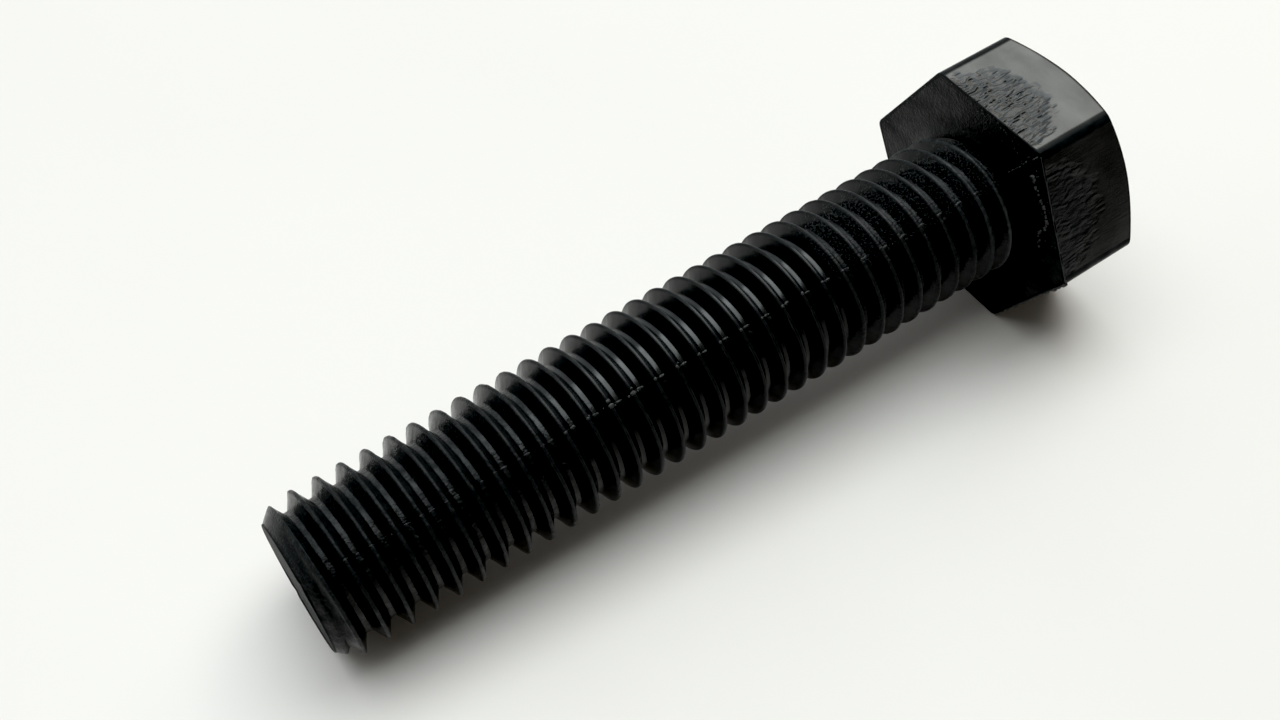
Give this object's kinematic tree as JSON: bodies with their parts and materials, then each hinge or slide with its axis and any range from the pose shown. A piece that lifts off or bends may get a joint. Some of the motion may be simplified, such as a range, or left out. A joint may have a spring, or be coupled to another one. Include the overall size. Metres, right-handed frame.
{
  "type": "hex bolt",
  "caption": "Moulded plastic hexagon-head bolt with a right-hand metric thread that runs the whole shank up to the head.",
  "frame": {"origin": "centre of the bearing face under the head, on the thread axis", "axes": "+X along the thread axis from the point towards the head, +Z square to one pair of the head's flats, +Y through two of its corners"},
  "size_m": [0.0459, 0.0149, 0.0129],
  "materials": {
    "nylon_head": "smooth moulded black nylon with wrinkled sink patches near the bearing edge",
    "nylon_thread": "satin moulded black nylon",
    "nylon_flash": "rough moulding flash in black nylon"
  },
  "bodies": {
    "root": {"hex_head": "nylon_head", "shank_core": "nylon_thread", "thread_lead_in": "nylon_thread", "full_thread": "nylon_thread", "thread_run_out": "nylon_thread", "parting_nibs_front": "nylon_flash", "parting_nibs_rear": "nylon_flash", "edge_flash": "nylon_flash", "gate_vestige": "nylon_flash"}
  },
  "joints": []
}
